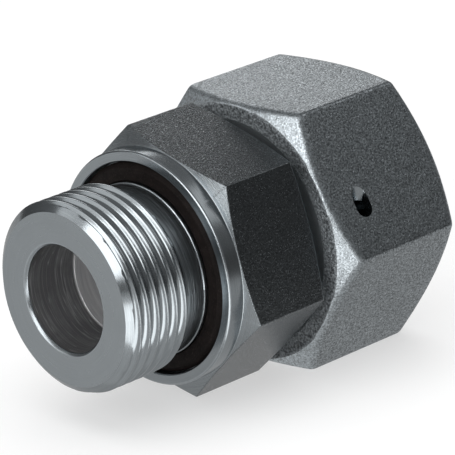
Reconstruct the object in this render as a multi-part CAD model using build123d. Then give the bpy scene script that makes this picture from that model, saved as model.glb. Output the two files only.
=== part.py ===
"""Swivel adapter for hydraulic lines: a metric stud end and a swivel nut on a 24-degree cone end.

Millimetres. The bore runs along X. The stud points to -X and screws into a port, the nut is at +X.
The origin lies on the bore's axis, in the plane of the collar face that meets the port.
+Z is the normal of one flat of the nut, so the nut rests on the opposite flat.
"""
from build123d import *
from math import cos, radians, sin, tan
import os

# The two threads, which set all the other diameters
stud_thread_dia = 33.0
stud_thread_pitch = 2.0
nut_thread_dia = 36.0
nut_thread_pitch = 2.0

# Stud end: a lead chamfer, the thread, and an undercut neck in front of the collar
stud_length = 18.0
stud_thread_length = 12.0
stud_lead_depth = 0.8 * stud_thread_pitch
stud_lead_length = 0.65 * stud_thread_pitch
neck_depth = 0.85 * stud_thread_pitch
neck_fillet = 0.4

# Collar with the recess that holds the soft seal
recess_over_thread = 3.8
collar_over_recess = 3.8
recess_dia = stud_thread_dia + recess_over_thread
collar_dia = recess_dia + collar_over_recess
collar_width = 3.05
collar_edge = 0.25
recess_depth = 2.4
recess_edge = 0.2

# Soft seal in the recess
seal_clearance = 0.05
seal_outer_gap = 0.25
seal_set_back = 0.1
seal_bevel = 0.9
seal_inner_edge = 0.35

# Body hexagon, just wider than the collar, turned against the nut as it happens to stand
flats_over_collar = 0.4
body_flats = collar_dia + flats_over_collar
body_face_inset = 0.6
body_face_dia = body_flats - 2 * body_face_inset
body_hex_width = 15.8
body_hex_end = collar_width + body_hex_width
body_front_slope = 18.0
body_rear_slope = 15.0
body_hex_turn = 14.2

# Swivel nut: thread inside, forged hexagon
nut_gap = 3.45
nut_front = body_hex_end + nut_gap
nut_length = 27.4
nut_over_body = 5.0
nut_flats = body_flats + nut_over_body
nut_face_slope = 30.0
nut_front_face_inset = 0.6
nut_rear_face_inset = 1.15
nut_front_face_dia = nut_flats - 2 * nut_front_face_inset
nut_rear_face_dia = nut_flats - 2 * nut_rear_face_inset
nut_soft_edge = 0.6
nut_bore_clearance = 0.2
nut_bore_length = 11.1
nut_bore_edge = 0.6
nut_relief_length = 2.2
nut_relief_depth = 0.25
nut_mouth_edge = 0.3
nut_seam_turn = 15.0

# Spigot that carries the nut
spigot_under_thread = 6.0
spigot_dia = nut_thread_dia - spigot_under_thread
spigot_past_bore = 0.8
spigot_end = nut_front + nut_bore_length + spigot_past_bore
spigot_edge = 0.5
spigot_root_fillet = 0.8

# Cone end: 24 degrees in all, with an O-ring groove
cone_half_angle = 12.0
cone_step = 0.9
cone_large_dia = spigot_dia - 2 * cone_step
cone_length = 11.5
cone_tip_edge = 0.4
oring_section = 2.4
oring_seat_depth = 3.7
oring_seat_dia = cone_large_dia - 2 * oring_seat_depth
oring_groove_width = 3.0
oring_proud = 0.45
oring_clearance = 0.03

# Flow bore, through the whole body, with this wall left under the O-ring
bore_wall = 1.2
bore_dia = oring_seat_dia - 2 * bore_wall
bore_edge = 0.45

# Retaining wire: one round wire, half in the spigot and half in the nut, its hooked end in the spigot
wire_dia = 3.0
wire_from_nut_front = 7.45
wire_place = nut_front + wire_from_nut_front
wire_body_clearance = 0.05
wire_nut_clearance = 0.2
wire_turn = 335.0
wire_hook_angle = 40.0
wire_hook_bend = 2.4
wire_hook_length = 1.6

# Entry opening for the wire, drilled square to one flat and ramped at its upper side
entry_flat_turn = 60.0
entry_offset = -4.93
entry_ramp_angle = 51.0
entry_ramp_depth = 1.5

bore_r = bore_dia / 2
stud_r = stud_thread_dia / 2
neck_r = stud_r - neck_depth
collar_r = collar_dia / 2
recess_r = recess_dia / 2
spigot_r = spigot_dia / 2
wire_r = wire_dia / 2
cone_start = spigot_end + spigot_edge
cone_end = cone_start + cone_length
nut_end = nut_front + nut_length


def turned(points):
    """A solid of revolution about X from (place along X, radius) points."""
    return revolve(make_face(Polyline(*points, close=True)), Axis.X)


def hexagon(across_flats, start, end, turn):
    """A hexagonal prism along X with one flat's normal at the given turn from +Z."""
    outline = RegularPolygon(across_flats / 2, 6, major_radius=False, rotation=turn)
    return Plane.YZ.offset(start) * extrude(outline, end - start)


def ring_about_x(place, ring_radius, section_radius):
    """A round ring about the bore's axis."""
    return Pos(place, 0, 0) * Rot(0, 90, 0) * Torus(ring_radius, section_radius)


def cone_radius(place):
    """Radius of the 24-degree cone at a place along X."""
    return cone_large_dia / 2 - (place - cone_start) * tan(radians(cone_half_angle))


def oring_place():
    """Middle of the O-ring groove: where the ring stands proud of the cone by its set amount."""
    ring_outer = oring_seat_dia / 2 + oring_section
    return cone_start + (cone_large_dia / 2 + oring_proud - ring_outer) / tan(radians(cone_half_angle))


def body_blank():
    """The turned outline of the body, with the hexagon's zone left round."""
    corner_r = body_flats / 2 / cos(radians(30))
    outer_r = corner_r + 1
    front_rise = tan(radians(body_front_slope))
    rear_rise = tan(radians(body_rear_slope))
    rear_face = body_hex_end + (corner_r - body_face_dia / 2) * rear_rise
    points = [
        (-stud_length, bore_r + bore_edge),
        (-stud_length, stud_r - stud_lead_depth),
        (-stud_length + stud_lead_length, stud_r),
        (-stud_length + stud_thread_length, stud_r),
        (-stud_length + stud_thread_length + neck_depth, neck_r),
        (recess_depth, neck_r),
        (recess_depth, recess_r),
        (recess_edge, recess_r),
        (0, recess_r + recess_edge),
        (0, collar_r - collar_edge),
        (collar_edge, collar_r),
        (collar_width, collar_r),
        (collar_width + (outer_r - collar_r) * front_rise, outer_r),
        (body_hex_end - (outer_r - corner_r) * rear_rise, outer_r),
        (rear_face, body_face_dia / 2),
        (rear_face, spigot_r + spigot_root_fillet),
        (rear_face + spigot_root_fillet, spigot_r),
        (spigot_end, spigot_r),
        (cone_start, spigot_r - spigot_edge),
        (cone_start, cone_large_dia / 2),
        (cone_end - cone_tip_edge, cone_radius(cone_end - cone_tip_edge)),
        (cone_end, cone_radius(cone_end) - cone_tip_edge),
        (cone_end, bore_r + bore_edge),
        (cone_end - bore_edge, bore_r),
        (bore_edge - stud_length, bore_r),
    ]
    return turned(points)


def hexagon_waste():
    """What the hexagon's six flats take off the round blank."""
    corner_r = body_flats / 2 / cos(radians(30))
    start = collar_width
    end = body_hex_end + corner_r
    sleeve = Plane.YZ.offset(start) * extrude(Circle(corner_r + 5) - Circle(body_face_dia / 2), end - start)
    return sleeve - hexagon(body_flats, start - 1, end + 1, body_hex_turn)


def oring_groove():
    """The square groove round the cone."""
    half = oring_groove_width / 2
    outer = cone_large_dia / 2
    inner = oring_seat_dia / 2
    middle = oring_place()
    return turned([(middle - half, inner), (middle + half, inner), (middle + half, outer), (middle - half, outer)])


def hook_path():
    """Centre line of the wire's hooked end: a tight bend and a short straight, towards the axis."""
    turn = radians(wire_hook_angle)
    outward = Vector(cos(turn), sin(turn))
    along = Vector(-sin(turn), cos(turn))
    bend_centre = outward * (spigot_r - wire_hook_bend)
    bend_end = bend_centre + along * wire_hook_bend
    bend = CenterArc(bend_centre, wire_hook_bend, wire_hook_angle, 90)
    straight = Line(bend_end, bend_end - outward * wire_hook_length)
    return bend, straight


def wire_along(edges, radius):
    """Round wire along edges that lie in the wire's plane."""
    plane = Plane.YZ.offset(wire_place)
    path = plane * Wire(edges)
    return sweep(Plane(origin=path @ 0, z_dir=path % 0) * Circle(radius), path=path)


def stud_body():
    """One turned piece: stud, collar, hexagon, spigot and cone."""
    wire_channel = ring_about_x(wire_place, spigot_r, wire_r + wire_body_clearance)
    hook_hole = wire_along(hook_path(), wire_r + wire_body_clearance)
    body = body_blank() - hexagon_waste() - oring_groove() - wire_channel - hook_hole
    neck_corner = body.edges().filter_by(GeomType.CIRCLE).filter_by(
        lambda edge: abs(edge.center().X - recess_depth) < 1e-3 and abs(edge.radius - neck_r) < 1e-3
    )
    return fillet(neck_corner, neck_fillet)


def stud_seal():
    """The soft profile ring in the collar's recess."""
    inner = neck_r + seal_clearance
    outer = recess_r - seal_outer_gap
    back = recess_depth - seal_clearance
    front = seal_set_back
    points = [
        (back, inner + neck_fillet),
        (back - neck_fillet, inner),
        (front + seal_inner_edge, inner),
        (front, inner + seal_inner_edge),
        (front, outer - seal_bevel),
        (front + seal_bevel, outer),
        (back, outer),
    ]
    return turned(points)


def cone_oring():
    """The O-ring in the groove of the cone."""
    middle_r = oring_seat_dia / 2 + oring_clearance + oring_section / 2
    return ring_about_x(oring_place(), middle_r, oring_section / 2)


def retaining_wire():
    """The wire that holds the nut: most of a turn, then the hooked end."""
    turn = CenterArc((0, 0), spigot_r, wire_hook_angle - wire_turn, wire_turn)
    return wire_along((turn,) + hook_path(), wire_r)


def nut_blank():
    """The nut's hexagon with a cone at each end and softly rounded edges."""
    outer_r = nut_flats / 2 / cos(radians(30)) + 1
    rise = tan(radians(nut_face_slope))
    limits = turned([
        (nut_front, 0),
        (nut_front, nut_front_face_dia / 2),
        (nut_front + (outer_r - nut_front_face_dia / 2) * rise, outer_r),
        (nut_end - (outer_r - nut_rear_face_dia / 2) * rise, outer_r),
        (nut_end, nut_rear_face_dia / 2),
        (nut_end, 0),
    ])
    # The seam of the turned surfaces lies away from the hexagon's corners
    blank = Rot(nut_seam_turn, 0, 0) * limits & hexagon(nut_flats, nut_front - 1, nut_end + 1, 0)
    round_edges = blank.edges().filter_by(GeomType.CIRCLE)
    long_edges = blank.edges().filter_by(GeomType.LINE).filter_by(Axis.X)
    cone_edges = blank.edges().filter_by(GeomType.HYPERBOLA)
    return fillet(long_edges + cone_edges + round_edges, nut_soft_edge)


def nut_inside():
    """Everything that is bored out of the nut, from the front face to the mouth of its thread."""
    bore = spigot_r + nut_bore_clearance
    bore_end = nut_front + nut_bore_length
    relief_end = bore_end + nut_relief_length
    crest = (nut_thread_dia - 1.0825 * nut_thread_pitch) / 2
    root = nut_thread_dia / 2 + nut_relief_depth
    mouth = nut_thread_dia / 2 + nut_mouth_edge
    return turned([
        (nut_front - 1, 0),
        (nut_front - 1, bore + nut_bore_edge + 1),
        (nut_front + nut_bore_edge, bore),
        (bore_end, bore),
        (bore_end, root),
        (relief_end, root),
        (relief_end + root - crest, crest),
        (nut_end - (mouth - crest), crest),
        (nut_end + 1, mouth + 1),
        (nut_end + 1, 0),
    ])


def entry_opening():
    """The opening in one flat through which the wire is fed: a square hole's axis and a slanted start."""
    radius = wire_r + wire_nut_clearance
    apothem = nut_flats / 2
    depth = apothem - spigot_r
    straight = Pos(0, entry_offset, apothem - depth / 2) * Cylinder(radius, depth)
    slant_reach = radius / cos(radians(entry_ramp_angle))
    slant_middle = entry_offset + slant_reach - radius
    length = entry_ramp_depth + 2 * radius
    ramp = Rot(-entry_ramp_angle, 0, 0) * Pos(0, 0, length / 2 - entry_ramp_depth) * Cylinder(radius, length)
    cut = straight + Pos(0, slant_middle, apothem) * ramp
    return Rot(entry_flat_turn, 0, 0) * Pos(wire_place, 0, 0) * cut


def swivel_nut():
    """The forged nut with its thread bore, wire channel and entry opening."""
    wire_channel = ring_about_x(wire_place, spigot_r, wire_r + wire_nut_clearance)
    return nut_blank() - nut_inside() - wire_channel - entry_opening()


pieces = {
    "stud_body": stud_body(),
    "stud_seal": stud_seal(),
    "cone_oring": cone_oring(),
    "retaining_wire": retaining_wire(),
    "swivel_nut": swivel_nut(),
}

os.makedirs("parts", exist_ok=True)
for name, shape in pieces.items():
    export_step(shape, f"parts/{name}.step")
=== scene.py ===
"""Looks of a steel swivel adapter: a threaded stud body, its seals, the retaining wire and a forged nut."""

import math

import bmesh
import bpy
import numpy as np
from mathutils import Matrix, Vector


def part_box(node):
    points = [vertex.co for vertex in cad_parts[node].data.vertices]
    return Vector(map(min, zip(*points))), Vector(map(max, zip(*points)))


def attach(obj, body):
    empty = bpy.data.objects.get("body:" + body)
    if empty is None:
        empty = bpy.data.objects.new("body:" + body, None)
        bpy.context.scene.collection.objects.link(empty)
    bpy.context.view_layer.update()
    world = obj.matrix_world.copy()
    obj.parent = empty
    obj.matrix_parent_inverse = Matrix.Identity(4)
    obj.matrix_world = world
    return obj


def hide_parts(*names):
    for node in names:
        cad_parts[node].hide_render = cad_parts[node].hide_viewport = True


bl_info = {
    "name": "Swivel adapter looks",
    "version": (1, 0, 0),
    "blender": (4, 5, 0),
    "location": "3D View > Sidebar > Adapter",
    "description": "Builds the pieces and finishes of a steel swivel adapter round its frame",
    "category": "Object",
}

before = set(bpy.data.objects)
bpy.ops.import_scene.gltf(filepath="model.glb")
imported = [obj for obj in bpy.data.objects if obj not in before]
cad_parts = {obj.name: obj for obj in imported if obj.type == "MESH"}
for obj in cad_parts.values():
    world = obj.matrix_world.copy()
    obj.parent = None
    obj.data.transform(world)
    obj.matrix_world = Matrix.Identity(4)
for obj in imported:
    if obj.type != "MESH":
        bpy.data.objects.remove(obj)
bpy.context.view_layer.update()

MM = 0.001
SIXTH = math.pi / 3


def span(node):
    """Lowest and highest place along X of a CAD node in millimetres."""
    low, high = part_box(node)
    return low.x / MM, high.x / MM


BODY_START, BODY_END = span("stud_body")
NUT_START, NUT_END = span("swivel_nut")
NUT_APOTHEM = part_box("swivel_nut")[1].z / MM


# Sizes and finishes that a user would change


class AdapterSizes(bpy.types.PropertyGroup):
    """Sizes of the details that the frame leaves plain, all lengths in metres."""

    stud_pitch: bpy.props.FloatProperty(
        name="Stud thread pitch",
        description="Rise of the stud's thread in one turn",
        default=0.002, min=0.0005, unit="LENGTH", subtype="DISTANCE",
    )
    nut_pitch: bpy.props.FloatProperty(
        name="Nut thread pitch",
        description="Rise of the nut's thread in one turn",
        default=0.002, min=0.0005, unit="LENGTH", subtype="DISTANCE",
    )
    thread_start: bpy.props.FloatProperty(
        name="Stud thread start",
        description="Turn at which the stud's thread begins",
        default=0.0, unit="ROTATION", subtype="ANGLE",
    )
    edge_break: bpy.props.FloatProperty(
        name="Machined edge break",
        description="How far the machined edges are eased",
        default=0.00016, min=0.0, unit="LENGTH", subtype="DISTANCE",
    )
    forged_softness: bpy.props.FloatProperty(
        name="Forged softness",
        description="How far the nut's cones run softly into its flats",
        default=0.00127, min=0.0, unit="LENGTH", subtype="DISTANCE",
    )
    forged_corner: bpy.props.FloatProperty(
        name="Forged corner radius",
        description="Rounding of the nut's six long corners",
        default=0.0009, min=0.0, unit="LENGTH", subtype="DISTANCE",
    )


class AdapterFinish(bpy.types.PropertyGroup):
    """Colours and grain of the pieces."""

    body_colour: bpy.props.FloatVectorProperty(
        name="Body colour", description="Colour of the plated, turned body",
        default=(0.405, 0.440, 0.461), size=3, min=0.0, max=1.0, subtype="COLOR",
    )
    bore_colour: bpy.props.FloatVectorProperty(
        name="Bore colour", description="Colour of the rougher steel inside the bore",
        default=(0.60, 0.60, 0.61), size=3, min=0.0, max=1.0, subtype="COLOR",
    )
    nut_colour: bpy.props.FloatVectorProperty(
        name="Nut colour", description="Colour of the plated, shot-blasted nut",
        default=(0.36, 0.391, 0.410), size=3, min=0.0, max=1.0, subtype="COLOR",
    )
    seal_colour: bpy.props.FloatVectorProperty(
        name="Seal colour", description="Colour of the soft seal",
        default=(0.0095, 0.0068, 0.0062), size=3, min=0.0, max=1.0, subtype="COLOR",
    )
    oring_colour: bpy.props.FloatVectorProperty(
        name="O-ring colour", description="Colour of the O-ring",
        default=(0.012, 0.012, 0.013), size=3, min=0.0, max=1.0, subtype="COLOR",
    )
    wire_colour: bpy.props.FloatVectorProperty(
        name="Wire colour", description="Colour of the drawn wire",
        default=(0.62, 0.63, 0.64), size=3, min=0.0, max=1.0, subtype="COLOR",
    )
    blast_size: bpy.props.FloatProperty(
        name="Blast grain", description="Size of the nut's blasted dimples",
        default=0.0004, min=0.00001, unit="LENGTH", subtype="DISTANCE",
    )
    turning_pitch: bpy.props.FloatProperty(
        name="Turning marks", description="Distance between the lathe's marks",
        default=0.00016, min=0.00001, unit="LENGTH", subtype="DISTANCE",
    )


class AdapterStage(bpy.types.PropertyGroup):
    """The floor and the studio lights."""

    floor_colour: bpy.props.FloatVectorProperty(
        name="Floor colour", description="Colour of the floor",
        default=(0.97, 0.97, 0.97), size=3, min=0.0, max=1.0, subtype="COLOR",
    )
    floor_white: bpy.props.FloatProperty(
        name="Floor white",
        description="Share of plain white in what the camera and reflections see of the floor",
        default=0.55, min=0.0, max=1.0, subtype="FACTOR",
    )
    room_level: bpy.props.FloatProperty(
        name="Room level", description="Brightness of the room overhead",
        default=0.22, min=0.0,
    )


# Shapes: rows of (place, radius) at many turn angles


def turn_angles(corner, step, beside_corner):
    """Turn angles round the bore in radians, with extra ones beside each of six corners (all in degrees)."""
    even = corner + np.arange(0, 360, step)
    extra = [corner + 60 * k + side * a for k in range(6) for a in beside_corner for side in (-1, 1)]
    return np.radians(np.unique(np.round(np.concatenate([even, extra]) % 360, 5)))


def from_corner(angles, corner):
    """Angle between each turn angle and the hexagon's nearest corner, in radians."""
    return np.abs((angles - math.radians(corner) + SIXTH / 2) % SIXTH - SIXTH / 2)


def hexagon_radius(angles, apothem, corner, easing):
    """Distance from the bore's axis to a hexagon's outline whose corners have a small radius."""
    off = from_corner(angles, corner)
    centre = (apothem - easing) / math.cos(SIXTH / 2)
    arc_end = math.atan2(easing * math.sin(SIXTH / 2), centre + easing * math.cos(SIXTH / 2))
    arc = centre * np.cos(off) + np.sqrt(np.maximum(easing**2 - (centre * np.sin(off)) ** 2, 0))
    return np.where(off < arc_end, arc, apothem / np.cos(SIXTH / 2 - off))


class Profile:
    """An outline of (place, radius) corners, each with its easing, the finish after it and its divisions."""

    def __init__(self, angles):
        self.count = len(angles)
        self.corners = []

    def add(self, place, radius, ease=0.0, finish=None, divide=1, wear_and_highlight=None):
        pair = [np.broadcast_to(value, self.count) for value in (place, radius)]
        point = np.stack(pair, 1).astype(float)
        before, after = ease if isinstance(ease, tuple) else (ease, ease)
        if finish is None:
            finish = self.corners[-1]["finish"]
        self.corners.append(
            {"point": point, "ease": (before, after), "finish": finish, "divide": divide, "wear_and_highlight": wear_and_highlight}
        )

    def arc(self, place, radius, section, start, end, steps, finish=None):
        """Points of a round channel's section between two angles, measured from +X towards larger radii."""
        for turn in np.radians(np.linspace(start, end, steps + 1)):
            self.add(place + section * math.cos(turn), radius + section * math.sin(turn), finish=finish)

    def rows(self, steps=4):
        """Rows of points, each row's edge wear and painted highlight, and the finish between each row and the
        next.
        """
        points, wear_and_highlight, finishes = [], [], []
        last = len(self.corners) - 1
        for k, corner in enumerate(self.corners):
            here = corner["point"]
            before, after = corner["ease"]
            given = corner["wear_and_highlight"]
            if before > 0 and 0 < k < last:
                start = eased_end(here, self.corners[k - 1]["point"], before)
                end = eased_end(here, self.corners[k + 1]["point"], after)
                for t in np.linspace(0, 1, steps + 1):
                    points.append((1 - t) ** 2 * start + 2 * t * (1 - t) * here + t**2 * end)
                    if given is None:
                        wear_and_highlight.append(1 - abs(2 * t - 1) ** 3)
                    else:
                        wear_and_highlight.append(given[0] + (given[1] - given[0]) * t)
                    finishes.append(corner["finish"])
            else:
                points.append(here)
                wear_and_highlight.append(0.0 if given is None else given[1])
                finishes.append(corner["finish"])
            corner["last_row"] = len(points) - 1
        return self.divided(points, wear_and_highlight, finishes)

    def divided(self, points, wear_and_highlight, finishes):
        """The same rows, with the wide plain spans cut into the divisions they ask for."""
        cuts = {corner["last_row"]: corner["divide"] for corner in self.corners}
        out_points, out_wear_and_highlight, out_finishes = [], [], []
        for j, point in enumerate(points):
            number = cuts.get(j, 1) if j + 1 < len(points) else 1
            for t in np.arange(number) / number:
                out_points.append(point if t == 0 else (1 - t) * point + t * points[j + 1])
                out_wear_and_highlight.append(wear_and_highlight[j] if t == 0 else 0.0)
                out_finishes.append(finishes[j])
        return np.array(out_points), np.array(out_wear_and_highlight), out_finishes


def eased_end(corner, neighbour, length):
    """Where a corner's easing starts on the way to a neighbour, at most nearly there."""
    way = neighbour - corner
    size = np.maximum(np.linalg.norm(way, axis=1), 1e-9)
    return corner + way * np.minimum(length / size, 0.49 if length < 1 else 0.92)[:, None]


def thread_rows(angles, pitch, section, start, end, limit, inward, filled=((0, 0), (1, 0))):
    """Rows that follow a right-hand thread from start to end, kept within the turned limits.

    An outside thread's grooves go no deeper than the filled line, which lets the first one fade in.
    """
    offsets = np.array([offset for offset, _ in section])
    radii = np.array([radius for _, radius in section])
    turns = int(math.ceil((end - start) / pitch)) + 3
    places = start - 1.5 * pitch + np.add.outer(np.arange(turns) * pitch, offsets).ravel()
    wall = np.tile(radii, turns)
    place = places[:, None] + pitch * angles[None, :] / math.tau
    place = np.clip(place, start, end)
    bound = np.interp(place, [p for p, _ in limit], [r for _, r in limit])
    floor_line = np.interp(place, [p for p, _ in filled], [r for _, r in filled])
    wall = np.maximum(wall[:, None], floor_line)
    radius = np.maximum(wall, bound) if inward else np.minimum(wall, bound)
    return np.stack([place, radius], 2), len(section)


class Patchwork:
    """A mesh put together from patches of rows that share their turn angles."""

    def __init__(self, angles):
        self.angles = angles
        self.points, self.faces, self.finishes, self.wear_and_highlight = [], [], [], []
        self.total = 0

    def add(self, rows, wear_and_highlight, finishes, shift=0):
        """Adds one patch. With a shift, the last angle joins the first that many rows on, as in a thread."""
        number, columns = rows.shape[:2]
        y = rows[..., 1] * np.cos(self.angles)
        z = rows[..., 1] * np.sin(self.angles)
        self.points.append(np.stack([rows[..., 0], y, z], 2).reshape(-1, 3) * MM)
        self.wear_and_highlight.append(np.broadcast_to(wear_and_highlight, (number, columns)).ravel())
        for j in range(number - 1):
            for i in range(columns):
                step = 0 if i + 1 < columns else shift
                if j + 1 + step >= number:
                    continue
                right = (i + 1) % columns
                self.faces.append((
                    self.total + j * columns + i,
                    self.total + (j + step) * columns + right,
                    self.total + (j + 1 + step) * columns + right,
                    self.total + (j + 1) * columns + i,
                ))
                self.finishes.append(finishes[j])
        self.total += number * columns

    def build(self, name, materials):
        """The welded object, with each finish as a material and the edge wear and painted highlight as an
        attribute.
        """
        names = list(materials)
        mesh = bpy.data.meshes.new(name)
        mesh.from_pydata(np.concatenate(self.points).tolist(), [], self.faces)
        wear = mesh.attributes.new("wear", "FLOAT", "POINT")
        wear.data.foreach_set("value", np.concatenate(self.wear_and_highlight).astype(np.float32))
        mesh.polygons.foreach_set("material_index", [names.index(f) for f in self.finishes])
        for key in names:
            mesh.materials.append(materials[key])
        bm = bmesh.new()
        bm.from_mesh(mesh)
        bmesh.ops.remove_doubles(bm, verts=bm.verts, dist=0.0005 * MM)
        bmesh.ops.dissolve_degenerate(bm, edges=bm.edges, dist=0.0005 * MM)
        bmesh.ops.recalc_face_normals(bm, faces=bm.faces)
        bm.to_mesh(mesh)
        bm.free()
        piece = bpy.data.objects.new(name, mesh)
        bpy.context.scene.collection.objects.link(piece)
        return piece


def shade_edges(piece, angle=32.0):
    """Smooth shading with crisp edges wherever two faces meet at more than an angle."""
    bm = bmesh.new()
    bm.from_mesh(piece.data)
    for face in bm.faces:
        face.smooth = True
    for edge in bm.edges:
        edge.smooth = len(edge.link_faces) == 2 and edge.calc_face_angle(0.0) < math.radians(angle)
    bm.to_mesh(piece.data)
    bm.free()
    weighted = piece.modifiers.new("Even shading", "WEIGHTED_NORMAL")
    weighted.keep_sharp = True
    weighted.weight = 100


def external_thread(pitch, crest, straight):
    """One pitch of an outside 60-degree thread with round roots: offsets with their radii, crest first.

    The flanks run straight down for a given depth and then join in one arc.
    """
    half_crest = pitch / 16
    side = [(0.0, crest), (half_crest - 0.035, crest)]
    side += [(half_crest + 0.01, crest - 0.014), (half_crest + 0.05, crest - 0.07)]
    meet = half_crest + straight * math.tan(SIXTH / 2)
    side.append(((side[-1][0] + meet) / 2, crest - (0.07 + straight) / 2))
    arc = (pitch / 2 - meet) / math.sin(SIXTH)
    bottom = straight + arc * (1 - math.cos(SIXTH))
    for turn in np.radians((60, 50, 40, 30, 20, 10, 0)):
        side.append((pitch / 2 - arc * math.sin(turn), crest - bottom + arc * (1 - math.cos(turn))))
    mirrored = [(pitch - offset, radius) for offset, radius in reversed(side[1:-1])]
    return side + mirrored


def internal_thread(pitch, crest, root):
    """One pitch of an inside 60-degree thread: offsets along the axis with their radii, crest first."""
    half_crest, half_root = pitch / 8, pitch / 16
    side = [(0.0, crest), (half_crest - 0.05, crest), (half_crest + 0.03, crest + 0.03)]
    flank_start, flank_end = (half_crest + 0.08, crest + 0.13), (pitch / 2 - half_root - 0.05, root - 0.1)
    for t in (0.0, 0.33, 0.66, 1.0):
        side.append(tuple(a + (b - a) * t for a, b in zip(flank_start, flank_end)))
    side += [(pitch / 2 - half_root + 0.02, root - 0.015), (pitch / 2, root)]
    mirrored = [(pitch - offset, radius) for offset, radius in reversed(side[1:-1])]
    return side + mirrored


# Finishes: shared effects as node groups, then one material for each finish


class Nodes:
    """Short ways to add and join shader nodes in one tree."""

    def __init__(self, tree):
        self.tree = tree

    def add(self, kind, **inputs):
        node = self.tree.nodes.new(kind)
        for key, value in inputs.items():
            self.set(node, key, value)
        return node

    def set(self, node, key, value):
        name = key.replace("_", " ")
        socket = node.inputs[name] if name in node.inputs else node.inputs[key]
        if isinstance(value, bpy.types.NodeSocket):
            self.tree.links.new(value, socket)
        else:
            socket.default_value = value

    def math(self, operation, *values):
        node = self.tree.nodes.new("ShaderNodeMath")
        node.operation = operation
        for socket, value in zip(node.inputs, values):
            if isinstance(value, bpy.types.NodeSocket):
                self.tree.links.new(value, socket)
            else:
                socket.default_value = value
        return node.outputs[0]

    def map(self, value, low, high, to_low, to_high):
        node = self.add("ShaderNodeMapRange", Value=value)
        node.inputs["From Min"].default_value = low
        node.inputs["From Max"].default_value = high
        node.inputs["To Min"].default_value = to_low
        node.inputs["To Max"].default_value = to_high
        return node.outputs["Result"]

    def mix_colour(self, factor, first, second, blend="MIX"):
        node = self.tree.nodes.new("ShaderNodeMix")
        node.data_type = "RGBA"
        node.blend_type = blend
        for index, value in ((0, factor), (6, first), (7, second)):
            if isinstance(value, bpy.types.NodeSocket):
                self.tree.links.new(value, node.inputs[index])
            else:
                node.inputs[index].default_value = value
        return node.outputs[2]


def new_group(name, inputs, outputs):
    """An empty shader node group with named inputs and outputs."""
    tree = bpy.data.node_groups.new(name, "ShaderNodeTree")
    for label, default in inputs:
        socket = tree.interface.new_socket(label, in_out="INPUT", socket_type="NodeSocketFloat")
        socket.default_value = default
    for label in outputs:
        tree.interface.new_socket(label, in_out="OUTPUT", socket_type="NodeSocketFloat")
    nodes = Nodes(tree)
    return tree, nodes, nodes.add("NodeGroupInput"), nodes.add("NodeGroupOutput")


def blast_grain_group():
    """Shot-blasted dimples: a height, a light and dark tone, and rare bright glints."""
    tree, nodes, inside, outside = new_group("Blast grain", [("Size", 0.0003)], ["Height", "Tone", "Glint"])
    coordinates = nodes.add("ShaderNodeTexCoord").outputs["Object"]
    per_metre = nodes.math("DIVIDE", 1.0, inside.outputs["Size"])
    coarse = nodes.add("ShaderNodeTexNoise", Vector=coordinates, Scale=per_metre, Detail=4.0, Roughness=0.7)
    fine_scale = nodes.math("MULTIPLY", per_metre, 1.3)
    fine = nodes.add("ShaderNodeTexNoise", Vector=coordinates, Scale=fine_scale, Detail=2.0, Roughness=0.5)
    pits = nodes.add("ShaderNodeTexVoronoi", Vector=coordinates, Scale=per_metre)
    height = nodes.math("ADD", coarse.outputs["Fac"], nodes.math("MULTIPLY", pits.outputs["Distance"], 0.35))
    tree.links.new(height, outside.inputs["Height"])
    tree.links.new(nodes.map(fine.outputs["Fac"], 0.36, 0.64, 0.0, 1.0), outside.inputs["Tone"])
    tree.links.new(nodes.map(fine.outputs["Fac"], 0.62, 0.72, 0.0, 1.0), outside.inputs["Glint"])
    return tree


def turning_marks_group():
    """The fine rings and scratches that a lathe leaves, by the place along the bore and the radius."""
    outputs = ["Height", "Tone", "Scratch"]
    tree, nodes, inside, outside = new_group("Turning marks", [("Pitch", 0.00016)], outputs)
    coordinates = nodes.add("ShaderNodeTexCoord").outputs["Object"]
    parts = nodes.add("ShaderNodeSeparateXYZ", Vector=coordinates)
    y, z = parts.outputs["Y"], parts.outputs["Z"]
    radius = nodes.math("SQRT", nodes.math("ADD", nodes.math("MULTIPLY", y, y), nodes.math("MULTIPLY", z, z)))
    around = nodes.math("MULTIPLY", nodes.math("ARCTAN2", z, y), 0.0004)
    rings = nodes.add("ShaderNodeCombineXYZ", X=parts.outputs["X"], Y=radius, Z=around).outputs[0]
    per_metre = nodes.math("DIVIDE", 1.0, inside.outputs["Pitch"])
    lines = nodes.add("ShaderNodeTexNoise", Vector=rings, Scale=per_metre, Detail=3.0, Roughness=0.7)
    wide = nodes.add("ShaderNodeTexNoise", Vector=rings, Scale=nodes.math("MULTIPLY", per_metre, 0.22))
    tree.links.new(lines.outputs["Fac"], outside.inputs["Height"])
    fine_share = nodes.math("MULTIPLY", lines.outputs["Fac"], 0.6)
    tone = nodes.math("ADD", fine_share, nodes.math("MULTIPLY", wide.outputs["Fac"], 0.4))
    tree.links.new(nodes.map(tone, 0.3, 0.7, 0.0, 1.0), outside.inputs["Tone"])
    sparse = nodes.add("ShaderNodeTexNoise", Vector=rings, Scale=nodes.math("MULTIPLY", per_metre, 0.3))
    near = nodes.math("ABSOLUTE", nodes.math("SUBTRACT", sparse.outputs["Fac"], 0.5))
    tree.links.new(nodes.map(near, 0.0, 0.02, 1.0, 0.0), outside.inputs["Scratch"])
    return tree


def cloudiness_group():
    """Slow change of tone over a surface, as plating and handling leave it."""
    tree, nodes, inside, outside = new_group("Cloudiness", [("Size", 0.006)], ["Tone"])
    coordinates = nodes.add("ShaderNodeTexCoord").outputs["Object"]
    per_metre = nodes.math("DIVIDE", 1.0, inside.outputs["Size"])
    cloud = nodes.add("ShaderNodeTexNoise", Vector=coordinates, Scale=per_metre, Detail=4.0, Roughness=0.55)
    tree.links.new(nodes.map(cloud.outputs["Fac"], 0.3, 0.7, 0.0, 1.0), outside.inputs["Tone"])
    return tree


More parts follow.
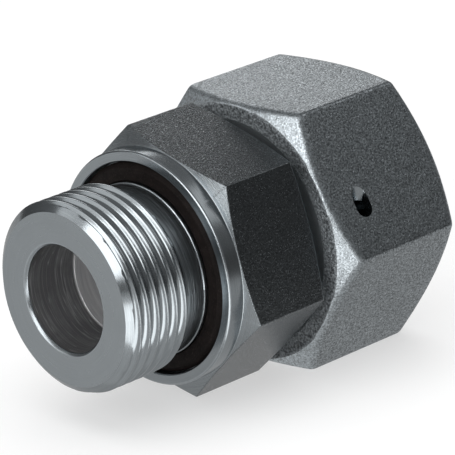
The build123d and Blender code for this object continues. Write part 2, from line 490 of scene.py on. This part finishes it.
def edge_wear_and_highlight_group():
    """Where edges wear lighter, and where a highlight is painted over the nut's cones: the edge attribute,
    broken up by noise.
    """
    tree, nodes, inside, outside = new_group("Edge wear and highlight", [("Breakup", 0.0008)], ["Mask"])
    coordinates = nodes.add("ShaderNodeTexCoord").outputs["Object"]
    attribute = nodes.add("ShaderNodeAttribute")
    attribute.attribute_name = "wear"
    per_metre = nodes.math("DIVIDE", 1.0, inside.outputs["Breakup"])
    broken = nodes.add("ShaderNodeTexNoise", Vector=coordinates, Scale=per_metre, Detail=2.0)
    patches = nodes.map(broken.outputs["Fac"], 0.3, 0.6, 0.5, 1.0)
    mask = nodes.math("MULTIPLY", attribute.outputs["Fac"], patches)
    tree.links.new(mask, outside.inputs["Mask"])
    return tree


GROUP_MAKERS = {
    "Blast grain": blast_grain_group,
    "Turning marks": turning_marks_group,
    "Cloudiness": cloudiness_group,
    "Edge wear and highlight": edge_wear_and_highlight_group,
}


def place_group(nodes, name, **values):
    """A group node with its own values. The group is made the first time that it is asked for."""
    node = nodes.tree.nodes.new("ShaderNodeGroup")
    node.node_tree = bpy.data.node_groups.get(name) or GROUP_MAKERS[name]()
    for key, value in values.items():
        node.inputs[key].default_value = value
    return node


def new_material(name):
    """A material with only a Principled shader, and the helper for its nodes."""
    material = bpy.data.materials.new(name)
    material.use_nodes = True
    nodes = Nodes(material.node_tree)
    return material, nodes, material.node_tree.nodes["Principled BSDF"]


def shade(colour, factor):
    """A colour made lighter or darker, with alpha."""
    return (*[min(1.0, c * factor) for c in colour], 1.0)


def clouded(nodes, base, size, amount, dark):
    """A base colour that turns darker in slow clouds."""
    clouds = place_group(nodes, "Cloudiness", Size=size)
    return nodes.mix_colour(nodes.map(clouds.outputs["Tone"], 0.0, 1.0, 0.0, amount * 2), base, dark)


def varied(nodes, tone, value, spread):
    """A value that falls by a share on either side of itself as the tone goes from dark to light."""
    return nodes.map(tone, 0.0, 1.0, value * (1 + spread), value * (1 - spread))


def finish_surface(nodes, shader, base, roughness, height, depth):
    """Gives a Principled shader its colour, its roughness and a bump of a depth in metres."""
    nodes.set(shader, "Base Color", base)
    nodes.set(shader, "Roughness", roughness)
    bump = nodes.add("ShaderNodeBump", Height=height, Strength=1.0, Distance=depth)
    nodes.set(shader, "Normal", bump.outputs["Normal"])


def turned_steel(name, colour, pitch, roughness, depth, contrast=0.12, cloud=0.08, metal=1.0, scratched=0.0):
    """Machined and plated steel with fine rings, slow clouds, round scratches, and edges lighter from wear
    and a painted highlight.
    """
    material, nodes, shader = new_material(name)
    marks = place_group(nodes, "Turning marks", Pitch=pitch)
    wear = place_group(nodes, "Edge wear and highlight")
    base = nodes.mix_colour(marks.outputs["Tone"], shade(colour, 1 - contrast), shade(colour, 1 + contrast))
    base = clouded(nodes, base, 0.005, cloud, shade(colour, 0.75))
    scratch = nodes.math("MULTIPLY", marks.outputs["Scratch"], scratched)
    base = nodes.mix_colour(scratch, base, shade(colour, 1.9))
    # Eased edges turn lighter here: partly real wear, partly a painted highlight on the edges.
    base = nodes.mix_colour(nodes.math("MULTIPLY", wear.outputs["Mask"], 0.7), base, shade(colour, 1.45))
    nodes.set(shader, "Metallic", metal)
    dull = varied(nodes, marks.outputs["Tone"], roughness, 0.15)
    finish_surface(nodes, shader, base, dull, marks.outputs["Height"], depth)
    return material


def grained_steel(
    name, colour, size, roughness, depth,
    contrast=0.25, glint=0.5, scatter=0.0, cloud=0.1, wear_highlight_lift=1.4, metal=1.0,
):
    """Blasted or drawn steel with a dimpled grain, dark pits, small glints, and places lighter from wear and
    a painted highlight.

    The glints are rougher by the scatter, so they catch light on the dark sides too.
    """
    material, nodes, shader = new_material(name)
    grain = place_group(nodes, "Blast grain", Size=size)
    wear = place_group(nodes, "Edge wear and highlight")
    base = nodes.mix_colour(grain.outputs["Tone"], shade(colour, 1 - contrast), shade(colour, 1 + contrast))
    base = clouded(nodes, base, 0.007, cloud, shade(colour, 0.7))
    base = nodes.mix_colour(nodes.math("MULTIPLY", grain.outputs["Glint"], glint), base, shade(colour, 1.7))
    base = nodes.mix_colour(nodes.math("MULTIPLY", wear.outputs["Mask"], 0.6), base, shade(colour, 1.0))
    # The marked places are lifted lighter by a factor: wear on eased edges, a painted highlight over the
    # nut's cones.
    light = nodes.mix_colour(wear.outputs["Mask"], (1, 1, 1, 1), (wear_highlight_lift, wear_highlight_lift, wear_highlight_lift, 1))
    base = nodes.mix_colour(1.0, base, light, "MULTIPLY")
    nodes.set(shader, "Metallic", metal)
    dull = varied(nodes, grain.outputs["Tone"], roughness, 0.2)
    dull = nodes.math("ADD", dull, nodes.math("MULTIPLY", grain.outputs["Glint"], scatter))
    dull = nodes.math("ADD", dull, nodes.math("MULTIPLY", wear.outputs["Mask"], 0.09))
    finish_surface(nodes, shader, base, dull, grain.outputs["Height"], depth)
    return material


def rubber(name, colour, roughness, depth):
    """Matt moulded rubber with a faint grain and a dusty bloom."""
    material, nodes, shader = new_material(name)
    grain = place_group(nodes, "Blast grain", Size=0.00025)
    clouds = place_group(nodes, "Cloudiness", Size=0.002)
    base = nodes.mix_colour(clouds.outputs["Tone"], shade(colour, 0.6), shade(colour, 1.4))
    base = nodes.mix_colour(nodes.math("MULTIPLY", grain.outputs["Glint"], 0.8), base, shade(colour, 5.0))
    nodes.set(shader, "Specular IOR Level", 0.12)
    dull = varied(nodes, grain.outputs["Tone"], roughness, 0.1)
    finish_surface(nodes, shader, base, dull, grain.outputs["Height"], depth)
    return material


def dress(node, material):
    """Gives a CAD node a better material in its own slots."""
    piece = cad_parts[node]
    if not piece.data.materials:
        piece.data.materials.append(material)
    for slot in piece.material_slots:
        slot.link = "OBJECT"
        slot.material = material


# The pieces


BODY_CORNER = 14.2
BODY_APOTHEM = 20.5
COLLAR = (3.05, 20.3)
STUD_CREST, STUD_FLANK = 16.5, 0.45
NECK = (-4.3, 14.8)
NECK_RIDGES, RIDGE_STEP, RIDGE_HEIGHT = 14, 0.26, 0.03
HEXAGON_END, BODY_FACE = 18.85, 19.9
BORE = 9.2
SPIGOT = 15.0
CONE_START, CONE_RADIUS, CONE_SLOPE = 34.7, 14.1, math.tan(math.radians(12))
ORING_GROOVE = (41.43, 44.43, 10.4)
WIRE_PLACE = 29.75


def cone(place):
    """Radius of the 24-degree cone at a place along the bore."""
    return CONE_RADIUS - (place - CONE_START) * CONE_SLOPE


def body_profile(angles, ease):
    """The stud body from its neck round the collar, hexagon, spigot, cone and bore to the stud's face."""
    hexagon = hexagon_radius(angles, BODY_APOTHEM, BODY_CORNER, 0.22)
    corner = BODY_APOTHEM / math.cos(SIXTH / 2)
    front = COLLAR[0] + (hexagon - COLLAR[1]) * math.tan(math.radians(18))
    rear = HEXAGON_END + (corner - hexagon) * math.tan(math.radians(15))
    rear_face = HEXAGON_END + (corner - BODY_FACE) * math.tan(math.radians(15))
    p = Profile(angles)
    p.add(*NECK, finish="neck")
    for k in range(NECK_RIDGES):
        p.add(NECK[0] + 0.2 + RIDGE_STEP * k, NECK[1] + (RIDGE_HEIGHT if k % 2 else 0.0))
    p.add(-0.55, 14.8)
    p.add(-0.45, 14.97, 0.04)
    p.add(-0.12, 14.97, 0.04)
    p.add(-0.05, 14.8)
    p.add(2.4, 14.8, 0.4)
    p.add(2.4, 18.4, 0.05)
    p.add(0.2, 18.4, 0.05, finish="turned")
    p.add(0.0, 18.6, 0.08)
    p.add(0.0, 20.05, ease)
    p.add(0.25, 20.3, ease)
    p.add(*COLLAR, 0.12, finish="shoulder")
    p.add(front, hexagon, ease, finish="flat", divide=8)
    p.add(rear, hexagon, ease, finish="turned")
    p.add(rear_face, BODY_FACE, ease)
    p.add(rear_face, SPIGOT + 0.8, 0.3)
    p.add(rear_face + 0.8, SPIGOT, 0.3)
    p.arc(WIRE_PLACE, SPIGOT, 1.55, 180, 360, 12)
    p.add(34.2, SPIGOT, ease)
    p.add(CONE_START, SPIGOT - 0.5, 0.1)
    p.add(CONE_START, CONE_RADIUS, ease)
    p.add(ORING_GROOVE[0], cone(ORING_GROOVE[0]), 0.1)
    p.add(ORING_GROOVE[0], ORING_GROOVE[2], 0.25)
    p.add(ORING_GROOVE[1], ORING_GROOVE[2], 0.25)
    p.add(ORING_GROOVE[1], cone(ORING_GROOVE[1]), 0.1)
    p.add(BODY_END - 0.4, cone(BODY_END - 0.4), ease)
    p.add(BODY_END, cone(BODY_END) - 0.4, ease)
    p.add(BODY_END, BORE + 0.45, ease)
    p.add(BODY_END - 0.45, BORE, ease, finish="bore_deep")
    p.add(-7.2, BORE)
    p.add(-7.3, BORE + 0.08, 0.03)
    p.add(-7.55, BORE + 0.08, 0.03)
    p.add(-7.65, BORE, finish="bore")
    p.add(BODY_START + 0.45, BORE, ease, finish="turned")
    p.add(BODY_START, BORE + 0.45, ease, finish="face")
    p.add(BODY_START, 14.9)
    return p


def nut_profile(angles, soft, corner_radius):
    """The nut from the mouth of its thread round the outside and the front face to its relief groove."""
    hexagon = hexagon_radius(angles, NUT_APOTHEM, 0.0, corner_radius)
    slope = math.tan(math.radians(30))
    front = NUT_START + (hexagon - 22.4) * slope
    rear = NUT_END - (hexagon - 21.85) * slope
    p = Profile(angles)
    p.add(NUT_END, 18.3, finish="nut_turned")
    p.add(NUT_END, 19.4, finish="forged")
    # These marks paint a highlight over the rear chamfer and the front cone, fading across their eased
    # corners and over the front face towards its inner step.
    p.add(NUT_END, 21.85, 0.4, wear_and_highlight=(1.0, 1.0))
    p.add(rear, hexagon, (soft * 0.8, soft), divide=10, wear_and_highlight=(1.0, 0.0))
    p.add(front, hexagon, (soft, soft * 0.8), wear_and_highlight=(0.0, 1.0))
    # From here the front face is coloured darker: partly its coarse forged skin, partly painted shade of the
    # gap to the body's hexagon.
    p.add(NUT_START, 22.4, 0.35, finish="forged_rough_shaded", wear_and_highlight=(1.0, 0.0))
    p.add(NUT_START, 19.9, 0.05, wear_and_highlight=(1.0, 1.0))
    p.add(NUT_START + 0.1, 19.8, 0.05, finish="nut_turned")
    p.add(NUT_START + 0.1, 15.8, 0.1)
    p.add(NUT_START + 0.6, 15.2, 0.1)
    p.arc(WIRE_PLACE, SPIGOT, 1.7, 173.2, 6.8, 12)
    p.add(33.4, 15.2, 0.1)
    p.add(33.4, 18.25, 0.3)
    p.add(35.6, 18.25)
    return p


def entry_cutters():
    """The drill's cylinder and the slanted one whose start makes the ramp of the wire's opening."""
    radius, offset, ramp_angle, ramp_depth = 1.7, -4.93, math.radians(51), 1.5
    depth = NUT_APOTHEM - SPIGOT
    slant = offset + radius / math.cos(ramp_angle) - radius
    length = ramp_depth + 2 * radius
    turn = Matrix.Rotation(math.radians(60), 4, "X") @ Matrix.Translation((WIRE_PLACE * MM, 0, 0))
    drill = Matrix.Translation((0, offset * MM, (NUT_APOTHEM - depth / 2 + 0.5) * MM))
    ramp = Matrix.Translation((0, slant * MM, NUT_APOTHEM * MM)) @ Matrix.Rotation(-ramp_angle, 4, "X")
    ramp = ramp @ Matrix.Translation((0, 0, (length / 2 - ramp_depth) * MM))
    return [("drill", turn @ drill, radius, depth + 1.0), ("ramp", turn @ ramp, radius, length)]


def cut_with(piece, name, place, radius, length, material):
    """Takes a round cutter out of a piece and removes the cutter."""
    mesh = bpy.data.meshes.new(name)
    bm = bmesh.new()
    bmesh.ops.create_cone(
        bm, cap_ends=True, segments=64, radius1=radius * MM, radius2=radius * MM, depth=length * MM
    )
    bm.transform(place)
    bm.to_mesh(mesh)
    bm.free()
    mesh.materials.append(material)
    cutter = bpy.data.objects.new(name, mesh)
    bpy.context.scene.collection.objects.link(cutter)
    cut = piece.modifiers.new(name, "BOOLEAN")
    cut.operation = "DIFFERENCE"
    cut.solver = "EXACT"
    cut.material_mode = "TRANSFER"
    cut.object = cutter
    result = bpy.data.meshes.new_from_object(piece.evaluated_get(bpy.context.evaluated_depsgraph_get()))
    piece.modifiers.clear()
    old = piece.data
    piece.data = result
    bpy.data.meshes.remove(old)
    bpy.data.objects.remove(cutter)
    if len(result.polygons) < 1000:
        raise RuntimeError(f"cutting {piece.name} with {name} left almost nothing")


class ADAPTER_OT_stud_body(bpy.types.Operator):
    """Build the stud body with its thread, collar, hexagon, spigot, cone and bore"""

    bl_idname = "adapter.stud_body"
    bl_label = "Stud body"

    def execute(self, context):
        sizes, finish = context.scene.adapter_sizes, context.scene.adapter_finish
        angles = turn_angles(BODY_CORNER, 2.0, (0.1, 0.2, 0.3, 0.55))
        colour, bore, pitch = finish.body_colour[:], finish.bore_colour[:], finish.turning_pitch
        materials = {
            "turned": turned_steel("Turned steel", colour, pitch, 0.24, 0.000004),
            "shoulder": turned_steel("Shoulder steel", shade(colour, 0.9)[:3], pitch * 1.3, 0.27, 0.000006),
            "face": turned_steel("Stud face steel", colour, pitch, 0.30, 0.000003, contrast=0.05),
            "thread": turned_steel("Thread steel", colour, pitch * 0.8, 0.18, 0.000004),
            "neck": turned_steel(
                "Neck steel", shade(colour, 0.95)[:3], pitch * 2.0, 0.3, 0.00009, contrast=0.8
            ),
            "bore": turned_steel(
                "Bore steel", shade(bore, 0.6)[:3], pitch * 1.6, 0.36, 0.00008,
                contrast=0.6, cloud=0.6, metal=0.9, scratched=0.8,
            ),
            "bore_deep": turned_steel(
                "Deep bore steel", shade(bore, 1.5)[:3], pitch * 1.5, 0.36, 0.00003, contrast=0.25, metal=0.7
            ),
            "flat": grained_steel(
                "Hexagon steel", shade(colour, 0.5)[:3], 0.0003, 0.15, 0.00006,
                contrast=0.5, glint=0.35, scatter=0.2,
            ),
        }
        patches = Patchwork(angles)
        rows, wear_and_highlight, finishes = body_profile(angles, sizes.edge_break / MM).rows()
        patches.add(rows, wear_and_highlight[:, None], finishes)
        pitch_mm = sizes.stud_pitch / MM
        section = external_thread(pitch_mm, STUD_CREST, STUD_FLANK)
        limit = [(BODY_START, 14.9), (BODY_START + 1.3, STUD_CREST), (-6.0, STUD_CREST), NECK]
        turned = angles + sizes.thread_start
        filled = [(BODY_START + 0.85, STUD_CREST), (BODY_START + 1.05, 15.6), (BODY_START + 1.3, 0)]
        thread, shift = thread_rows(turned, pitch_mm, section, BODY_START, NECK[0], limit, False, filled)
        patches.add(thread, np.zeros((len(thread), 1)), ["thread"] * len(thread), shift)
        piece = patches.build("threaded_body", materials)
        shade_edges(piece)
        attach(piece, "body")
        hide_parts("stud_body")
        return {"FINISHED"}


class ADAPTER_OT_nut(bpy.types.Operator):
    """Build the forged nut with its thread, wire channel and entry opening"""

    bl_idname = "adapter.nut"
    bl_label = "Forged nut"

    def execute(self, context):
        sizes, finish = context.scene.adapter_sizes, context.scene.adapter_finish
        angles = turn_angles(0.0, 2.0, (0.16, 0.32, 0.48, 0.8))
        colour, grain = finish.nut_colour[:], finish.blast_size
        materials = {
            # The marked cones of the nut are painted up to 1.8 times lighter as a highlight.
            "forged": grained_steel("Forged steel", colour, grain, 0.34, 0.00007, contrast=0.55, wear_highlight_lift=1.8),
            # The rim colour is darkened to 0.58 of the nut's: coarse forged skin with painted shade of the
            # gap to the body's hexagon.
            "forged_rough_shaded": grained_steel(
                "Forged rim steel with painted shade", shade(colour, 0.58)[:3], grain * 1.4, 0.45, 0.0003,
                contrast=0.7, metal=0.6,
            ),
            "nut_turned": turned_steel(
                "Nut bore steel", shade(colour, 0.8)[:3], 0.0002, 0.38, 0.00002, metal=0.75
            ),
            "nut_thread": turned_steel("Nut thread steel", colour, 0.00014, 0.24, 0.000005),
        }
        ramp_steel = turned_steel("Ramp steel", shade(colour, 1.1)[:3], 0.0002, 0.22, 0.000004)
        patches = Patchwork(angles)
        profile = nut_profile(angles, sizes.forged_softness / MM, sizes.forged_corner / MM)
        rows, wear_and_highlight, finishes = profile.rows(steps=6)
        patches.add(rows, wear_and_highlight[:, None], finishes)
        pitch = sizes.nut_pitch / MM
        section = internal_thread(pitch, 16.9175, 18.02)
        limit = [(35.6, 18.25), (36.93, 16.9175), (NUT_END - 1.3825, 16.9175), (NUT_END, 18.3)]
        thread, shift = thread_rows(angles, pitch, section, 35.6, NUT_END, limit, True)
        patches.add(thread, np.zeros((len(thread), 1)), ["nut_thread"] * len(thread), shift)
        piece = patches.build("forged_nut", materials)
        for name, place, radius, length in entry_cutters():
            cut_with(piece, name, place, radius, length, ramp_steel)
        shade_edges(piece)
        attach(piece, "nut")
        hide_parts("swivel_nut")
        return {"FINISHED"}


class ADAPTER_OT_rings(bpy.types.Operator):
    """Give the soft seal, the O-ring and the retaining wire their finishes"""

    bl_idname = "adapter.rings"
    bl_label = "Seals and wire"

    def execute(self, context):
        finish = context.scene.adapter_finish
        dress("stud_seal", rubber("Seal rubber", finish.seal_colour[:], 0.6, 0.00004))
        dress("cone_oring", rubber("O-ring rubber", finish.oring_colour[:], 0.38, 0.000003))
        dress("retaining_wire", turned_steel("Wire steel", finish.wire_colour[:], 0.0003, 0.25, 0.000003))
        return {"FINISHED"}


# The stage


def aim(target, place):
    """Turns an object so that its -Z points from its place to a target."""
    direction = (Vector(target) - Vector(place)).normalized()
    return direction.to_track_quat("-Z", "Y").to_matrix().to_4x4()


def from_direction(azimuth, elevation, distance):
    """A place at a heading from +X and a height above the horizon, in degrees, and a distance."""
    a, e = math.radians(azimuth), math.radians(elevation)
    return Vector((math.cos(a) * math.cos(e), math.sin(a) * math.cos(e), math.sin(e))) * distance


def softbox(name, azimuth, elevation, distance, width, height, level, in_reflections=True):
    """A soft rectangular lamp that looks at the part, with the brightness of its own surface."""
    data = bpy.data.lights.new(name, "AREA")
    data.shape = "RECTANGLE"
    data.size, data.size_y = width, height
    data.energy = math.pi * width * height * level
    lamp = bpy.data.objects.new(name, data)
    place = from_direction(azimuth, elevation, distance) + Vector((0.016, 0, 0))
    lamp.matrix_world = Matrix.Translation(place) @ aim((0.016, 0, 0), place)
    lamp.visible_camera = False
    lamp.visible_glossy = in_reflections
    bpy.context.scene.collection.objects.link(lamp)
    return lamp


def card(name, corners, level):
    """A studio card of a plain brightness that only reflections see."""
    material = bpy.data.materials.new(name)
    material.use_nodes = True
    shader = material.node_tree.nodes["Principled BSDF"]
    shader.inputs["Base Color"].default_value = (0, 0, 0, 1)
    shader.inputs["Specular IOR Level"].default_value = 0.0
    shader.inputs["Emission Color"].default_value = (1, 1, 1, 1)
    shader.inputs["Emission Strength"].default_value = level
    mesh = bpy.data.meshes.new(name)
    mesh.from_pydata(corners, [], [tuple(range(len(corners)))])
    mesh.materials.append(material)
    piece = bpy.data.objects.new(name, mesh)
    bpy.context.scene.collection.objects.link(piece)
    piece.visible_camera = False
    piece.visible_diffuse = False
    piece.visible_shadow = False


def lying_card(name, outline, lift, level):
    """A card that lies a little above the floor, with the places of its corners in metres."""
    card(name, [(x, y, lift - NUT_APOTHEM * MM) for x, y in outline], level)


def standing_card(name, azimuth, distance, width, bottom, top, level):
    """An upright card that faces the part from a heading in degrees and a distance."""
    a = math.radians(azimuth)
    out = Vector((math.cos(a), math.sin(a))) * distance
    along = Vector((-math.sin(a), math.cos(a))) * width / 2
    left, right = out - along, out + along
    card(name, [(*left, bottom), (*right, bottom), (*right, top), (*left, top)], level)


def floor_material(colour, white):
    """A pale floor that the camera and reflections see nearly white, with the part's shadow kept."""
    material = bpy.data.materials.new("Pale floor")
    material.use_nodes = True
    nodes = Nodes(material.node_tree)
    material.node_tree.nodes.clear()
    output = nodes.add("ShaderNodeOutputMaterial")
    grain = nodes.add("ShaderNodeTexNoise", Scale=900.0, Detail=2.0)
    tone = nodes.mix_colour(grain.outputs["Fac"], shade(colour, 0.985), shade(colour, 1.015))
    matt = nodes.add("ShaderNodeBsdfDiffuse", Color=tone)
    glow = nodes.add("ShaderNodeEmission", Color=(1, 1, 1, 1), Strength=1.0)
    path = nodes.add("ShaderNodeLightPath")
    seen = nodes.math("MAXIMUM", path.outputs["Is Camera Ray"], path.outputs["Is Glossy Ray"])
    seen = nodes.math("MAXIMUM", seen, path.outputs["Is Transmission Ray"])
    share = nodes.math("MULTIPLY", seen, white)
    mix = nodes.add("ShaderNodeMixShader", Fac=share)
    material.node_tree.links.new(matt.outputs[0], mix.inputs[1])
    material.node_tree.links.new(glow.outputs[0], mix.inputs[2])
    material.node_tree.links.new(mix.outputs[0], output.inputs["Surface"])
    return material


def floor(material):
    """A wide flat floor under the part."""
    half = 12.0
    mesh = bpy.data.meshes.new("floor")
    corners = [(-half, -half, 0), (half, -half, 0), (half, half, 0), (-half, half, 0)]
    mesh.from_pydata(corners, [], [(0, 1, 2, 3)])
    mesh.materials.append(material)
    piece = bpy.data.objects.new("floor", mesh)
    piece.location = (0.016, 0, -NUT_APOTHEM * MM - 0.00002)
    bpy.context.scene.collection.objects.link(piece)


def room(level):
    """A plain grey room: darker at the horizon, lighter overhead."""
    world = bpy.data.worlds.new("Studio room")
    world.use_nodes = True
    bpy.context.scene.world = world
    nodes = Nodes(world.node_tree)
    background = world.node_tree.nodes["Background"]
    heading = nodes.add("ShaderNodeTexCoord").outputs["Generated"]
    up = nodes.add("ShaderNodeSeparateXYZ", Vector=heading).outputs["Z"]
    strength = nodes.map(up, 0.0, 0.9, level * 0.35, level)
    world.node_tree.links.new(strength, background.inputs["Strength"])
    background.inputs["Color"].default_value = (0.97, 0.985, 1.0, 1.0)


def camera():
    """The camera at the photograph's viewing angle."""
    data = bpy.data.cameras.new("View")
    data.lens = 276.965
    data.sensor_width = 36.0
    data.clip_start, data.clip_end = 0.05, 20.0
    view = bpy.data.objects.new("View", data)
    right = Vector((0.7142, -0.69806, -0.05132)).normalized()
    forward = Vector((0.64308, 0.68336, -0.34563)).normalized()
    up = right.cross(forward).normalized()
    right = forward.cross(up).normalized()
    turn = Matrix((right, up, -forward)).transposed().to_4x4()
    view.matrix_world = Matrix.Translation(Vector((-361.19, -404.49, 206.14)) * MM) @ turn
    bpy.context.scene.collection.objects.link(view)
    bpy.context.scene.camera = view


class ADAPTER_OT_stage(bpy.types.Operator):
    """Set the camera, the pale floor and the soft studio lights"""

    bl_idname = "adapter.stage"
    bl_label = "Stage"

    def execute(self, context):
        stage = context.scene.adapter_stage
        camera()
        floor(floor_material(stage.floor_colour[:], stage.floor_white))
        room(stage.room_level)
        softbox("Key light", -31, 45, 0.8, 0.42, 0.34, 0.6)
        softbox("Front light", 190.5, 28.7, 0.8, 0.70, 0.465, 2.5)
        softbox("Left light", 147, 28, 0.8, 0.56, 0.36, 0.75)
        softbox("Back light", 52, 20, 0.9, 0.42, 0.25, 1.75)
        softbox("Overhead fill", 0, 88, 1.8, 2.6, 2.6, 1.9, in_reflections=False)
        lying_card("Grey card", [(-2, -2), (2, -2), (2, 2), (-2, 2)], 0.0002, 0.42)
        lying_card("Pale card", [(-2, -2), (-0.020, -2), (-0.020, 2), (-2, 2)], 0.0003, 0.52)
        glow = [
            (-0.024, -0.062), (-0.140, -0.141), (-0.200, -0.070),
            (-0.060, -0.030), (-0.036, -0.024), (-0.002, -0.026),
        ]
        lying_card("Bright card", glow, 0.0004, 2.1)
        standing_card("Dark card", -50, 0.17, 0.20, -0.0225, 0.035, 0.07)
        standing_card("Side card", 163, 0.20, 0.06, -0.0215, 0.026, 3.2)
        context.scene.view_settings.view_transform = "Standard"
        return {"FINISHED"}


class ADAPTER_PT_panel(bpy.types.Panel):
    """Sidebar panel that lists the adapter's sizes, finishes and steps"""

    bl_idname = "ADAPTER_PT_panel"
    bl_label = "Swivel adapter"
    bl_space_type = "VIEW_3D"
    bl_region_type = "UI"
    bl_category = "Adapter"

    def draw(self, context):
        scene = context.scene
        for label, group in (
            ("Sizes", scene.adapter_sizes), ("Finish", scene.adapter_finish), ("Stage", scene.adapter_stage),
        ):
            box = self.layout.box()
            box.label(text=label)
            for name in group.__annotations__:
                box.prop(group, name)
        for operator in STEPS:
            self.layout.operator(operator.bl_idname)


STEPS = (ADAPTER_OT_stage, ADAPTER_OT_stud_body, ADAPTER_OT_nut, ADAPTER_OT_rings)
GROUPS = {"adapter_sizes": AdapterSizes, "adapter_finish": AdapterFinish, "adapter_stage": AdapterStage}


def register():
    for name, group in GROUPS.items():
        bpy.utils.register_class(group)
        setattr(bpy.types.Scene, name, bpy.props.PointerProperty(type=group))
    for item in (*STEPS, ADAPTER_PT_panel):
        bpy.utils.register_class(item)


def unregister():
    for item in reversed((*STEPS, ADAPTER_PT_panel)):
        bpy.utils.unregister_class(item)
    for name, group in reversed(GROUPS.items()):
        delattr(bpy.types.Scene, name)
        bpy.utils.unregister_class(group)


def main():
    """Registers the add-on and makes everything."""
    register()
    bpy.ops.adapter.stage()
    bpy.ops.adapter.stud_body()
    bpy.ops.adapter.nut()
    bpy.ops.adapter.rings()


if __name__ == "__main__":
    main()
